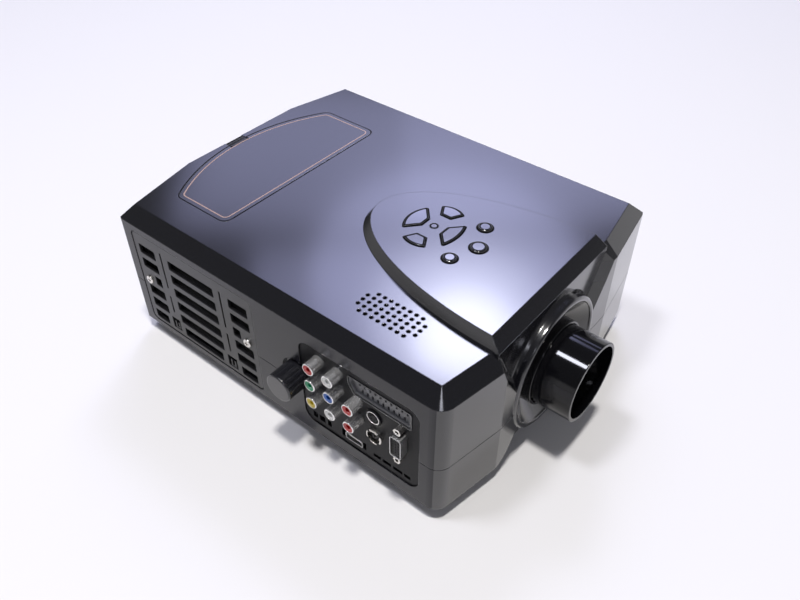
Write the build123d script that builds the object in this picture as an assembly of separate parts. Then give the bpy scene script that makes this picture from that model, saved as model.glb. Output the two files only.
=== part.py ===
from build123d import *
import math
import os

os.makedirs("parts", exist_ok=True)

# All sizes in mm. X runs across, -Y is the lens end, Z is up, floor at Z = 0.
wall = 2.5
half_width = 113.0
side_front_y = -135.0
side_rear_y = 133.5
mid_front_y = -143.6
mid_rear_y = 146.4
mid_front_left_x = -65.0
mid_front_right_x = 59.5
mid_rear_left_x = -50.0
mid_rear_right_x = 54.0
corner_radius = 10.0
small_corner_radius = 3.0
top_z = 109.0
bottom_z = 10.0
parting_z = 49.4
top_chamfer = 9.4
bottom_chamfer = 1.0
groove = 0.5
move_gap = 0.3
fit_gap = 0.3
overlap = 0.1

mid_x = -7.0

# Lens and dish
lens_x = mid_x
lens_z = 57.5
rim_y = -144.6
rim_radius = 45.7
rim_width = 3.9
dish_inner_radius = rim_radius - rim_width
dish_throat_radius = 30.0
dish_throat_y = -131.5
dish_root_radius = 47.6
dish_root_y = -136.8
dish_back_y = -126.0
sleeve_radius = 28.9
sleeve_wall = 1.5
sleeve_front_y = -144.2
sleeve_rear_y = -62.0
barrel_radius = 26.8
barrel_wall = 2.3
barrel_front_y = -169.6
barrel_rear_y = -128.0
front_glass_y = -156.0
cell_length = 24.0
cell_y = -110.0
cell_travel = 3.0

# Hood
hood_rise = 7.5
hood_top_z = top_z + hood_rise
hood_center_y = -138.0
hood_low_x = 60.2
hood_low_y = 138.7
hood_high_x = 57.0
hood_high_y = 133.0
hood_front_y = -137.8
hood_opening_x = 57.0
hood_opening_y = 136.0
hood_inner_x = 54.0
hood_inner_y = 130.0
recess_low_z = 62.0

# Keys
key_x = -6.5
key_y = -48.0
key_gap = 0.45
key_proud = 0.8
key_travel = 0.8
key_flange = 0.9
key_flange_thick = 1.3
round_key_proud = 1.2
board_drop = 13.5
board_z = hood_top_z - board_drop
board_thick = 1.6

# Speaker holes
speaker_x = -79.15
speaker_y = -73.15
speaker_pitch_x = 4.35
speaker_pitch_y = 4.61
speaker_hole_radius = 1.25

# Lamp door
door_x = -6.8
door_half_width = 74.0
door_front_y = 63.5
door_side_y = 110.5
door_rear_y = 132.8
door_corner = 5.5
door_thick = 2.1
door_ledge = 3.0

# Side grille
grille_low_y = 8.5
grille_high_y = 123.5
grille_low_z = 15.5
grille_high_z = 94.6
grille_corner = 4.0
grille_thick = 2.0
grille_inset = 0.3
slot_top_z = 85.5
slot_pitch = 11.9
slot_height = 7.8
grille_screw_front_yz = (17.0, 55.5)
grille_screw_rear_yz = (114.9, 55.7)
grille_head_radius = 3.2

# Connector plate
plate_low_y = -120.5
plate_high_y = -31.2
plate_low_z = 21.0
plate_high_z = 89.0
plate_corner = 8.0
plate_thick = 1.8
plate_inset = 0.7
rca_radius = 4.15
rca_neck_radius = 3.95
rca_proud = 9.7
rca_wall = 0.65
io_board_depth = 7.5

# Adjuster knob
knob_y = -26.5
knob_z = 56.8
knob_radius = 9.7
knob_proud = 16.0
knob_end_x = -half_width - knob_proud
shaft_end_x = -half_width + 12.0
knob_recess_radius = 11.8
knob_recess_depth = 1.8
shaft_radius = 3.0

# Exhaust fan
fan_y = 60.0
fan_z = 56.5
fan_half = 40.0

# Feet
foot_inset = 25.0
foot_x = half_width - foot_inset
front_foot_y = -112.0
rear_foot_y = 112.0
foot_pad_radius = 11.0
foot_wheel_radius = 10.0
foot_stem_radius = 4.0
foot_travel = 8.0
screw_inset = 14.0
screw_x = half_width - screw_inset
screw_bite = 13.6
screw_top_z = parting_z + screw_bite
beyond = 20.0
screw_front_y = -126.0
screw_rear_y = 127.5


def block(x0, x1, y0, y1, z0, z1):
    return Pos((x0 + x1) / 2, (y0 + y1) / 2, (z0 + z1) / 2) * Box(x1 - x0, y1 - y0, z1 - z0)


def rod_x(x0, x1, y, z, radius):
    return Pos((x0 + x1) / 2, y, z) * Rot(0, 90, 0) * Cylinder(radius, x1 - x0)


def rod_y(x, y0, y1, z, radius):
    return Pos(x, (y0 + y1) / 2, z) * Rot(90, 0, 0) * Cylinder(radius, y1 - y0)


def rod_z(x, y, z0, z1, radius):
    return Pos(x, y, (z0 + z1) / 2) * Cylinder(radius, z1 - z0)


def along_z(face, z0, z1):
    return Pos(0, 0, z0) * extrude(face, amount=z1 - z0, dir=(0, 0, 1))


def along_x(points, x0, x1):
    face = make_face(Polyline(*[(x0, y, z) for y, z in points], close=True))
    return extrude(face, amount=x1 - x0, dir=(1, 0, 0))


def along_y(points, y0, y1):
    face = make_face(Polyline(*[(x, y0, z) for x, z in points], close=True))
    return extrude(face, amount=y1 - y0, dir=(0, 1, 0))


def side_panel(y0, y1, z0, z1, corner, x0, x1):
    panel = block(x0, x1, y0, y1, z0, z1)
    return fillet(panel.edges().filter_by(Axis.X), corner)


def spin_y(points, x, z):
    face = make_face(Polyline(*points, close=True))
    return Pos(x, 0, z) * revolve(face, axis=Axis.Y)


def all_of(solids):
    joined = solids[0]
    for solid in solids[1:]:
        joined = joined + solid
    return joined


pieces = {}


def save(name, shape):
    pieces[name] = shape


# Outer form shared by the two shells
plan = [
    (-half_width, side_front_y),
    (mid_front_left_x, mid_front_y),
    (mid_front_right_x, mid_front_y),
    (half_width, side_front_y),
    (half_width, side_rear_y),
    (mid_rear_right_x, mid_rear_y),
    (mid_rear_left_x, mid_rear_y),
    (-half_width, side_rear_y),
]


def shell_form(inset):
    outline = make_face(Polyline(*plan, close=True))
    if inset > 0:
        outline = offset(outline, -inset, kind=Kind.INTERSECTION)
    form = along_z(outline, bottom_z + inset, top_z - inset)
    uprights = form.edges().filter_by(Axis.Z)
    uprights = [e for e in uprights if abs(e.center().X) > half_width - inset - 1]
    wide_uprights = [e for e in uprights if e.center().X < 0 and e.center().Y < 0]
    small_uprights = [e for e in uprights if e.center().X > 0 or e.center().Y > 0]
    rounded = fillet(small_uprights, max(small_corner_radius - inset, 0.5))
    bevel_loss = inset * (2 - math.sqrt(2))
    form = fillet(wide_uprights, max(corner_radius - inset, top_chamfer - bevel_loss + 0.6))
    form = chamfer(form.faces().sort_by(Axis.Z)[-1].edges(), top_chamfer - bevel_loss)
    if bottom_chamfer > bevel_loss + 0.1:
        form = chamfer(form.faces().sort_by(Axis.Z)[0].edges(), bottom_chamfer - bevel_loss)
    return form & rounded


outer = shell_form(0)
inner = shell_form(wall)
shell = outer - inner

# V shaped recess beside the lens, bevelled out to the front face
recess_outer = [(68.8, top_z + 3.0), (62.0, 99.6), (56.0, 87.0), (45.3, 70.1), (40.2, recess_low_z)]
recess_inner = [(62.2, top_z + 3.0), (55.4, 99.6), (49.3, 87.0), (38.4, 70.1), (33.3, recess_low_z)]


def recess_outline(points, change):
    left = [(mid_x - x - change, z) for x, z in points]
    right = [(mid_x + x + change, z) for x, z in reversed(points)]
    return left + right


def recess_face(points, y):
    return make_face(Polyline(*[(x, y, z) for x, z in points], close=True))


backing = along_y(recess_outline(recess_outer, 3.0), mid_front_y + 2.0, hood_front_y + 2 * wall)
shell = shell + (backing & outer)
recess_bevel = loft(
    [
        recess_face(recess_outline(recess_outer, 0), mid_front_y),
        recess_face(recess_outline(recess_inner, 0), hood_front_y),
    ],
    ruled=True,
)
shell = shell - recess_bevel
shell = shell - along_y(recess_outline(recess_outer, 0), mid_front_y - 3.0, mid_front_y)
shell = shell - along_y(recess_outline(recess_inner, 0), hood_front_y, hood_front_y + wall)
shell = shell - along_y(recess_outline(recess_inner, -4.0), hood_front_y, hood_front_y + 4 * wall)

# Lower recess, bevelled back under the dish
under_outer = [(58.4, bottom_z - 1.0), (47.9, 15.5), (37.8, 29.4), (36.0, 38.0)]
under_inner = [(52.0, bottom_z - 1.0), (41.4, 15.5), (31.3, 29.4), (30.0, 38.0)]
under_backing = along_y(recess_outline(under_outer, 3.0), mid_front_y + 2.0, hood_front_y + 2 * wall)
shell = shell + (under_backing & outer)
under_bevel = loft(
    [
        recess_face(recess_outline(under_outer, 0), mid_front_y),
        recess_face(recess_outline(under_inner, 0), hood_front_y),
    ],
    ruled=True,
)
shell = shell - under_bevel
shell = shell - along_y(recess_outline(under_outer, 0), mid_front_y - 3.0, mid_front_y)

# Bell-mouthed dish around the lens
dish_outer = [
    (0.0, rim_y),
    (rim_radius - 1.9, rim_y),
    (rim_radius - 1.2, rim_y + 0.15),
    (rim_radius - 0.55, rim_y + 0.6),
    (rim_radius - 0.15, rim_y + 1.2),
    (rim_radius, rim_y + 2.0),
    (rim_radius + 0.3, rim_y + 4.6),
    (rim_radius + 0.9, rim_y + 6.4),
    (dish_root_radius, dish_root_y),
    (dish_root_radius, dish_back_y),
    (0.0, dish_back_y),
]
dish_inner = [
    (0.0, rim_y - 10.0),
    (dish_inner_radius + 1.5, rim_y - 10.0),
    (dish_inner_radius + 1.5, rim_y),
    (dish_inner_radius + 0.8, rim_y + 0.2),
    (dish_inner_radius + 0.3, rim_y + 0.6),
    (dish_inner_radius, rim_y + 1.4),
    (dish_throat_radius + 1.0, dish_throat_y - 1.0),
    (dish_throat_radius, dish_throat_y + 0.6),
    (dish_throat_radius, dish_back_y + 10.0),
    (0.0, dish_back_y + 10.0),
]
dish_behind = [
    (dish_throat_radius + wall, dish_back_y + 1.0),
    (dish_throat_radius + wall, dish_throat_y + 2.6),
    (dish_inner_radius + 0.6, rim_y + 6.6),
    (dish_root_radius - wall, dish_root_y),
    (dish_root_radius - wall, dish_back_y + 1.0),
]
dish = spin_y(dish_outer, lens_x, lens_z)
dish = dish & block(lens_x - 60, lens_x + 60, rim_y - 1, dish_back_y + 1, bottom_z, top_z - 0.4)
shell = shell + dish
shell = shell - spin_y(dish_inner, lens_x, lens_z)
shell = shell - spin_y(dish_behind, lens_x, lens_z)

# Opening under the hood
hood_center = Pos(mid_x, hood_center_y, 0)
opening = along_z(hood_center * Ellipse(hood_opening_x, hood_opening_y), top_z - wall - 1, top_z + 1)
opening_zone = block(-half_width, half_width, hood_front_y + 2 * wall, 10, top_z - beyond, top_z + beyond)
shell = shell - (opening & opening_zone)

# Speaker holes
for row in range(5):
    end = 1 if row in (0, 4) else 0
    for column in range(end, 10 - end):
        hole_x = speaker_x + (row - 2) * speaker_pitch_x
        hole_y = speaker_y + (column - 4.5) * speaker_pitch_y
        shell = shell - rod_z(hole_x, hole_y, top_z - 4, top_z + 1, speaker_hole_radius)

# Lamp door opening with a ledge, and the catch pocket
door_line = Polyline(
    (door_x - door_half_width, door_side_y),
    (door_x - door_half_width, door_front_y),
    (door_x + door_half_width, door_front_y),
    (door_x + door_half_width, door_side_y),
)
door_arc = ThreePointArc(
    (door_x + door_half_width, door_side_y),
    (door_x, door_rear_y),
    (door_x - door_half_width, door_side_y),
)
door_face = make_face(Curve() + [door_line, door_arc])
door_face = fillet(door_face.vertices(), door_corner)
door_seat_z = top_z - door_thick - move_gap
ledge_outer = offset(door_face, 2.0)
ledge_inner = offset(door_face, -door_ledge)
door_room = along_z(door_face, door_seat_z, top_z + 1)
ledge = along_z(ledge_outer, top_z - 2 * wall + 0.3, top_z - wall + overlap)
ledge = ledge - along_z(ledge_inner, top_z - 9, top_z + 1) - door_room
shell = shell - along_z(door_face, top_z - wall - overlap, top_z + 1)
shell = shell + (ledge & outer)
catch_x0 = -15.0
catch_x1 = 1.0
catch_y0 = door_rear_y - 2.2
catch_y1 = door_rear_y + 5.7
catch_floor_z = top_z - 5.0
catch_cup = block(catch_x0 - 1.5, catch_x1 + 1.5, catch_y0 - 1.5, catch_y1 + 1.5, catch_floor_z - 1.5, top_z)
catch_space = block(catch_x0, catch_x1, catch_y0, catch_y1, catch_floor_z, top_z + 1)
shell = shell + (catch_cup & outer) - catch_space - (catch_cup & door_room)

# Side openings with ledges behind them
for low_y, high_y, low_z, high_z, corner, inset, thick in (
    (grille_low_y, grille_high_y, grille_low_z, grille_high_z, grille_corner, grille_inset, grille_thick),
    (plate_low_y, plate_high_y, plate_low_z, plate_high_z, plate_corner, plate_inset, plate_thick),
):
    seat_x = -half_width + inset + thick
    rim = side_panel(low_y - 2, high_y + 2, low_z - 2, high_z + 2, corner + 2, seat_x - 1, seat_x + wall)
    gap = side_panel(low_y + 3, high_y - 3, low_z + 3, high_z - 3, corner, seat_x - 2, seat_x + 2 * wall)
    cut = side_panel(low_y - 0.3, high_y + 0.3, low_z - 0.3, high_z + 0.3, corner, -half_width - 1, seat_x)
    shell = shell + (rim & outer) - cut - gap

lug_x = -half_width + grille_inset + grille_thick
lug_low_y = grille_screw_front_yz[0] + 4.5
lug_high_y = grille_screw_rear_yz[0] - 4.5
lug_top_z = grille_screw_front_yz[1] + 5.0
for y0, y1 in ((grille_low_y - 2.0, lug_low_y), (lug_high_y, grille_high_y + 2.0)):
    shell = shell + block(lug_x, lug_x + wall, y0, y1, parting_z + 0.6, lug_top_z)
for sy, sz in (grille_screw_front_yz, grille_screw_rear_yz):
    shell = shell - rod_x(lug_x - 1, lug_x + wall + 1, sy, sz, 1.3)
for hx in (door_x - 50.0, door_x + 50.0):
    shell = shell - block(hx - 6, hx + 6, door_front_y - 4.0, door_front_y + 4.0, top_z - 9, top_z - wall)
    shell = shell - block(hx - 6, hx + 6, door_front_y, door_front_y + 4.0, top_z - 4, top_z - 2.0)

# Fine groove where the shells meet
far_x = half_width + beyond
far_front_y = mid_front_y - beyond
far_rear_y = mid_rear_y + beyond
seam_band = block(-far_x, far_x, far_front_y, far_rear_y, parting_z - 0.2, parting_z + 0.2)
seam = (outer - shell_form(groove)) & seam_band
shell = shell - seam

# Round recess for the knob
recess_x = -half_width + knob_recess_depth
knob_seat = rod_x(recess_x, recess_x + wall, knob_y, knob_z, knob_recess_radius + 0.2)
shell = shell - rod_x(-half_width - 1, recess_x, knob_y, knob_z, knob_recess_radius)
shell = shell + knob_seat
shell = shell - rod_x(-half_width - 1, -half_width + 8, knob_y, knob_z, shaft_radius + move_gap)

# Exhaust slots on the far side
exhaust_slots = []
for row in range(6):
    slot_z = fan_z - 30.5 + row * 10.0
    exhaust_slots.append(
        block(half_width - wall - 1, half_width + 1, fan_y - 36, fan_y + 36, slot_z, slot_z + 5.5)
    )
shell = shell - all_of(exhaust_slots)

# Rear wall openings for the mains socket and the switch
inlet_x = -32.0
inlet_z = 31.0
inlet_width = 27.6
inlet_height = 20.2
rocker_x = 2.0
rocker_z = 31.0
rocker_width = 13.0
rocker_height = 19.4


def rear_block(x, width, y0, y1, z, height):
    return block(x - width / 2, x + width / 2, y0, y1, z - height / 2, z + height / 2)


rocker_frame = 3.0
rear_cut_y = mid_rear_y - 6
shell = shell - rear_block(inlet_x, inlet_width, rear_cut_y, mid_rear_y + 4, inlet_z, inlet_height)
shell = shell - rear_block(
    rocker_x, rocker_width + rocker_frame, rear_cut_y, mid_rear_y + 4, rocker_z, rocker_height + rocker_frame
)

# Bosses and screw holes
upper_bosses = []
lower_bosses = []
screw_holes = []
for sx in (-screw_x, screw_x):
    for sy in (screw_front_y, screw_rear_y):
        upper_bosses.append(rod_z(sx, sy, parting_z, top_z - wall + overlap, 4.0))
        rib_x0 = sx - 1 if sx > 0 else -half_width + 2
        rib_x1 = half_width - 2 if sx > 0 else sx + 1
        upper_bosses.append(block(rib_x0, rib_x1, sy - 0.9, sy + 0.9, parting_z, top_z - wall - 7))
        lower_bosses.append(rod_z(sx, sy, bottom_z + wall - overlap, parting_z, 4.0))
        screw_holes.append(rod_z(sx, sy, bottom_z - 1, screw_top_z + 1, 1.6))
        screw_holes.append(rod_z(sx, sy, bottom_z - 1, bottom_z + 2.6, 3.3))

main_board_box = (half_width - 73.0, half_width - 29.0, -100.0, 14.0)
power_board_box = (-half_width + 13.0, -half_width + 61.0, 18.0, 118.0)
lower_board_z = 20.0
for x0, x1, y0, y1 in (main_board_box, power_board_box):
    for bx in (x0 + 4, x1 - 4):
        for by in (y0 + 4, y1 - 4):
            lower_bosses.append(rod_z(bx, by, bottom_z + wall - overlap, lower_board_z, 3.0))

foot_boss_top = bottom_z + 24.0
for fx in (-foot_x, foot_x):
    lower_bosses.append(rod_z(fx, front_foot_y, bottom_z + wall - overlap, foot_boss_top, 7.5))

upper_half = block(-far_x, far_x, far_front_y, far_rear_y, parting_z, top_z + beyond)
lower_half = block(-far_x, far_x, far_front_y, far_rear_y, -1, parting_z)
upper_housing = (shell & upper_half) + (all_of(upper_bosses) & outer) - all_of(screw_holes)
lower_housing = (shell & lower_half) + all_of(lower_bosses) - all_of(screw_holes)
for fx in (-foot_x, foot_x):
    stem_bore_radius = foot_stem_radius + move_gap
    lower_housing = lower_housing - rod_z(fx, front_foot_y, 0, foot_boss_top + 1, stem_bore_radius)

save("upper_housing", upper_housing)
save("lower_housing", lower_housing)

# Raised hood with the keys
shell_top = top_z - wall
hood_wall_z = hood_top_z - wall


def hood_form(low_x, low_y, low_z, high_x, high_y, high_z):
    low = Pos(mid_x, hood_center_y, low_z) * Ellipse(low_x, low_y)
    high = Pos(mid_x, hood_center_y, high_z) * Ellipse(high_x, high_y)
    return loft([low, high])


hood_end_y = hood_center_y + hood_low_y + beyond
hood_limit = along_x(
    [
        (hood_front_y, top_z - beyond),
        (hood_front_y, top_z),
        (hood_front_y + hood_rise, hood_top_z),
        (hood_front_y + hood_rise, hood_top_z + beyond),
        (hood_end_y, hood_top_z + beyond),
        (hood_end_y, top_z - beyond),
    ],
    -half_width,
    half_width,
)
hood_inner_front = hood_front_y + wall * math.sqrt(2)
hood_inner_limit = along_x(
    [
        (hood_inner_front, top_z - 9),
        (hood_inner_front, top_z),
        (hood_inner_front + hood_rise - wall, hood_wall_z),
        (hood_inner_front + hood_rise - wall, hood_top_z + beyond),
        (hood_end_y, hood_top_z + beyond),
        (hood_end_y, top_z - 9),
    ],
    -half_width,
    half_width,
)
hood = hood_form(hood_low_x, hood_low_y, top_z, hood_high_x, hood_high_y, hood_top_z) & hood_limit
hood_inside = hood_form(
    hood_opening_x, hood_opening_y, top_z - overlap, hood_inner_x, hood_inner_y, hood_wall_z
)
hood = hood - (hood_inside & hood_inner_limit)
spigot_out = hood_center * Ellipse(hood_opening_x - 0.2, hood_opening_y - 0.2)
spigot_in = hood_center * Ellipse(hood_opening_x - 2.4, hood_opening_y - 2.4)
spigot = along_z(spigot_out, shell_top - 0.5, top_z + overlap) - along_z(spigot_in, top_z - 9, top_z + 11)
spigot_front_y = hood_front_y + 2 * wall + 0.3
spigot_zone = block(-half_width, half_width, spigot_front_y, hood_end_y, top_z - 9, top_z + 11)
hood = hood + (spigot & spigot_zone)
apron = along_y(recess_outline(recess_inner, -0.1), hood_front_y, hood_front_y + wall)
apron_zone = block(
    -half_width, half_width, hood_front_y - 2, hood_front_y + 8, recess_low_z + 0.2, top_z + 0.05
)
apron = apron & apron_zone
skirt = along_z(hood_center * Ellipse(hood_low_x, hood_low_y), top_z - 4.0, top_z + 0.05)
skirt_zone = block(-half_width, half_width, hood_front_y, hood_front_y + 4.0, top_z - 9, top_z + 3)
skirt = (skirt & skirt_zone) - outer
dish_clear = spin_y([(r + 0.3 if r > 0 else r, y) for r, y in dish_outer], lens_x, lens_z)
hood = hood + ((apron + skirt) - dish_clear)

# Keys: four leaves round the window, three round ones in front
leaf_corner = 0.9


def leaf(points, middle):
    sides = Polyline(*points)
    arc = ThreePointArc(points[-1], middle, points[0])
    face = make_face(Curve() + [sides, arc])
    return Pos(key_x, key_y) * fillet(face.vertices(), leaf_corner)


leaf_up = leaf([(13.0, 14.5), (4.0, 6.5), (-4.0, 6.5), (-13.0, 14.5)], (0.0, 19.3))
leaf_down = leaf([(-12.8, -15.8), (-4.2, -7.7), (4.2, -7.7), (12.8, -15.8)], (0.0, -18.5))
leaf_left = leaf([(-20.4, 8.4), (-12.3, 3.7), (-12.3, -3.7), (-20.4, -8.4)], (-22.9, 0.0))
leaf_right = leaf([(20.3, -8.4), (12.1, -3.9), (12.1, 3.9), (20.3, 8.4)], (23.3, 0.0))
leaf_keys = [
    ("button_up", leaf_up, (key_x, key_y + 12.4)),
    ("button_down", leaf_down, (key_x, key_y - 12.4)),
    ("button_left", leaf_left, (key_x - 17.8, key_y)),
    ("button_right", leaf_right, (key_x + 17.8, key_y)),
]
round_keys = [
    ("button_round_right", 12.2, -73.7, 5.3),
    ("button_round_middle", -6.9, -81.9, 6.0),
    ("button_round_left", -25.8, -74.3, 5.2),
]
window_x = -6.2
window_y = -47.9
window_radius = 2.85
switch_top_z = board_z + board_thick + 3.0
stem_bottom_z = switch_top_z + key_travel + move_gap
flange_top_z = hood_wall_z - move_gap
flange_low_z = flange_top_z - key_flange_thick
for name, face, spot in leaf_keys:
    hood = hood - along_z(face, hood_wall_z - 1, hood_top_z + 1)
for name, kx, ky, radius in round_keys:
    hood = hood - rod_z(kx, ky, hood_wall_z - 1, hood_top_z + 1, radius)
hood = hood - rod_z(window_x, window_y, hood_wall_z - 1, hood_top_z + 1, window_radius)
board_posts = [(-35.5, -31.0), (21.5, -31.0), (-36.0, -90.0), (23.0, -90.0)]
for px, py in board_posts:
    hood = hood + rod_z(px, py, board_z + board_thick, hood_wall_z + overlap, 2.5)
save("control_hood", hood)

for name, face, spot in leaf_keys:
    cap = along_z(offset(face, -key_gap), flange_top_z - overlap, hood_top_z + key_proud)
    cap = fillet(cap.faces().sort_by(Axis.Z)[-1].edges(), 0.35)
    key = cap + along_z(offset(face, key_flange), flange_low_z, flange_top_z)
    key = key + rod_z(spot[0], spot[1], stem_bottom_z, flange_low_z + overlap, 1.5)
    save(name, key)
for name, kx, ky, radius in round_keys:
    cap = rod_z(kx, ky, flange_top_z - overlap, hood_top_z + round_key_proud, radius - 0.6)
    cap = fillet(cap.faces().sort_by(Axis.Z)[-1].edges(), 1.0)
    key = cap + rod_z(kx, ky, flange_low_z, flange_top_z, radius + 1.0)
    key = key + rod_z(kx, ky, stem_bottom_z, flange_low_z + overlap, 1.5)
    save(name, key)

window = rod_z(window_x, window_y, hood_wall_z - 1.2, hood_wall_z, window_radius + 0.9)
window = window + rod_z(window_x, window_y, hood_wall_z - 0.1, hood_top_z + 0.1, window_radius)
save("status_window", window)

button_board = block(-40.0, 27.0, -94.0, -27.0, board_z, board_z + board_thick)
for spot in [key[2] for key in leaf_keys] + [(key[1], key[2]) for key in round_keys]:
    sx, sy = spot
    switch = block(sx - 3, sx + 3, sy - 3, sy + 3, board_z + board_thick, switch_top_z - 0.8)
    button_board = button_board + switch
    button_board = button_board + rod_z(sx, sy, switch_top_z - 0.9, switch_top_z, 1.7)
button_board = button_board + rod_z(window_x, window_y, board_z + board_thick, hood_wall_z - 3.0, 1.5)
save("button_board", button_board)

# Speaker under the top holes
speaker = block(speaker_x - 13, speaker_x + 13, speaker_y - 24, speaker_y + 24, shell_top - 1.5, shell_top)
speaker = speaker + Pos(speaker_x, speaker_y, shell_top - 6.5) * Cone(8.5, 12.0, 10.2)
speaker = speaker + rod_z(speaker_x, speaker_y, shell_top - 15.5, shell_top - 9.5, 10.0)
speaker = speaker - Pos(speaker_x, speaker_y, shell_top - 2.4) * Cone(4.0, 10.5, 5.0)
save("speaker", speaker)

# Lamp door with two hooks under its front edge
door_top = top_z
door = along_z(offset(door_face, -0.4), door_top - door_thick, door_top)
door = door - block(catch_x0 - 0.3, catch_x1 + 0.3, catch_y0 - 0.3, catch_y1 + 3.5, top_z - 9, top_z + 3)
door = door - block(catch_x0 - 0.3, catch_x1 + 0.3, catch_y0 - 1.5, catch_y1 + 3.5, top_z - 1.4, top_z + 3)
for hx in (door_x - 50.0, door_x + 50.0):
    hook_top = door_top - door_thick + overlap
    door = door + block(hx - 5, hx + 5, door_front_y + 0.9, door_front_y + 3.4, top_z - 4.6, hook_top)
    door = door + block(hx - 5, hx + 5, door_front_y - 2.6, door_front_y + 1.0, top_z - 4.6, top_z - 3.1)
save("lamp_door", door)

latch_x0 = catch_x0 + 0.5
latch_x1 = catch_x1 - 0.5
latch = block(latch_x0, latch_x1, catch_y0 + 0.3, catch_y0 + 5.0, catch_floor_z + 0.4, top_z - 0.1)
latch = fillet(latch.edges().filter_by(Axis.X), 0.6)
latch = latch + block(latch_x0, latch_x1, catch_y0 - 1.0, catch_y0 + 2.0, top_z - 1.1, top_z - 0.1)
for ridge in range(3):
    ridge_y = catch_y0 + 1.6 + ridge * 1.2
    latch = latch + rod_x(catch_x0 + 2.0, catch_x1 - 2.0, ridge_y, top_z - 0.1, 0.3)
save("door_latch", latch)

# Slotted intake panel
grille_x = -half_width + grille_inset
grille_back_x = grille_x + grille_thick
grille = side_panel(
    grille_low_y, grille_high_y, grille_low_z, grille_high_z, grille_corner, grille_x, grille_back_x
)
grille = chamfer(grille.faces().sort_by(Axis.X)[0].edges(), 0.4)
columns = [(102.0, 118.4), (44.4, 88.5), (13.3, 30.4)]
last_row_columns = [(105.0, 119.2), (47.3, 86.9), (13.6, 28.6)]
screw_row_columns = [(102.0, 108.6), (44.4, 88.5), (23.3, 30.4)]
slots = []
for row in range(6):
    row_columns = columns
    if row == 2:
        row_columns = screw_row_columns
    if row == 5:
        row_columns = last_row_columns
    high = slot_top_z - row * slot_pitch
    for y0, y1 in row_columns:
        slot = block(grille_x - 1, grille_back_x + 1, y0, y1, high - slot_height, high)
        slots.append(fillet(slot.edges().filter_by(Axis.X), 1.0))
for slit_y, spans in ((95.5, ((58.0, 88.0), (35.4, 50.4))), (37.9, ((56.2, 87.0), (33.8, 50.4)))):
    for z0, z1 in spans:
        slots.append(block(grille_x - 1, grille_back_x + 1, slit_y - 0.75, slit_y + 0.75, z0, z1))
for y0, y1, z0, z1 in ((91.6, 100.0, 19.3, 29.3), (33.0, 42.1, 18.8, 28.6)):
    slots.append(block(grille_x - 1, grille_back_x + 1, y0, y1, z0, z1))
grille = grille - all_of(slots)
for y0, y1, z0 in ((91.6, 100.0, 19.3), (33.0, 42.1, 18.8)):
    middle = (y0 + y1) / 2
    hook = block(grille_x + 0.4, grille_back_x, middle - 2.4, middle + 2.4, z0 - 0.5, z0 + 6.5)
    hook_slit = block(grille_x - 1, grille_back_x + 1, middle - 1.1, middle + 1.1, z0 + 1.5, z0 + 9)
    grille = grille + (hook - hook_slit)
for sy, sz in (grille_screw_front_yz, grille_screw_rear_yz):
    grille = grille - rod_x(grille_x - 1, grille_back_x + 1, sy, sz, 1.3)
save("side_grille", grille)

grille_screws = []
for sy, sz in (grille_screw_front_yz, grille_screw_rear_yz):
    head = rod_x(grille_x - 1.5, grille_x, sy, sz, grille_head_radius)
    head = fillet(head.faces().sort_by(Axis.X)[0].edges(), 0.8)
    head = head - block(grille_x - 2, grille_x - 0.6, sy - 1.8, sy + 1.8, sz - 0.4, sz + 0.4)
    head = head - block(grille_x - 2, grille_x - 0.6, sy - 0.4, sy + 0.4, sz - 1.8, sz + 1.8)
    grille_screws.append(head + rod_x(grille_x - overlap, grille_back_x + 2.3, sy, sz, 1.3))
save("grille_screws", Compound(children=grille_screws))

filter_x = grille_back_x + wall
filter_inset = 2.5
dust_filter = block(
    filter_x,
    filter_x + 3,
    grille_low_y + filter_inset,
    grille_high_y - filter_inset,
    grille_low_z + filter_inset,
    grille_high_z - filter_inset - overlap,
)
save("dust_filter", dust_filter)

# Connector plate and sockets
plate_x = -half_width + plate_inset
plate_back_x = plate_x + plate_thick
rca_tip_x = plate_x - rca_proud
io_board_x = plate_back_x + io_board_depth
plate = side_panel(plate_low_y, plate_high_y, plate_low_z, plate_high_z, plate_corner, plate_x, plate_back_x)
plate = plate - rod_x(plate_x - 1, plate_back_x + 1, knob_y, knob_z, knob_recess_radius + 0.3)
rca = [
    (-46.7, 81.0, "red"),
    (-46.7, 67.5, "green"),
    (-46.7, 52.4, "yellow"),
    (-61.4, 81.0, "white"),
    (-61.4, 67.5, "blue"),
    (-61.4, 52.4, "white"),
    (-75.9, 67.5, "red"),
    (-75.9, 52.4, "red"),
]
scart_outline = [(-114.4, 72.1), (-114.4, 83.9), (-69.7, 83.9), (-69.7, 79.0), (-73.6, 72.1)]
svideo_y = -87.6
svideo_z = 61.8
svideo_radius = 5.8
tv_y = -89.0
tv_z = 47.0
tv_radius = 5.7
vga_y = -108.0
vga_z = 56.0
vga_half_height = 8.3
vga_half_width = 4.0
vga_screw_pitch = 12.5
hdmi_y = -71.4
hdmi_z = 28.4
hdmi_half_width = 6.7
hdmi_half_height = 2.7
for y, z, color in rca:
    plate = plate - rod_x(plate_x - 1, plate_back_x + 1, y, z, rca_neck_radius)
plate = plate - along_x(scart_outline, plate_x - 1, plate_back_x + 1)
plate = plate - rod_x(plate_x - 1, plate_back_x + 1, svideo_y, svideo_z, svideo_radius)
plate = plate - rod_x(plate_x - 1, plate_back_x + 1, tv_y, tv_z, tv_radius)


def side_piece(y, z, half_y, half_z, corner, x0, x1):
    return side_panel(y - half_y, y + half_y, z - half_z, z + half_z, corner, x0, x1)


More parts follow.
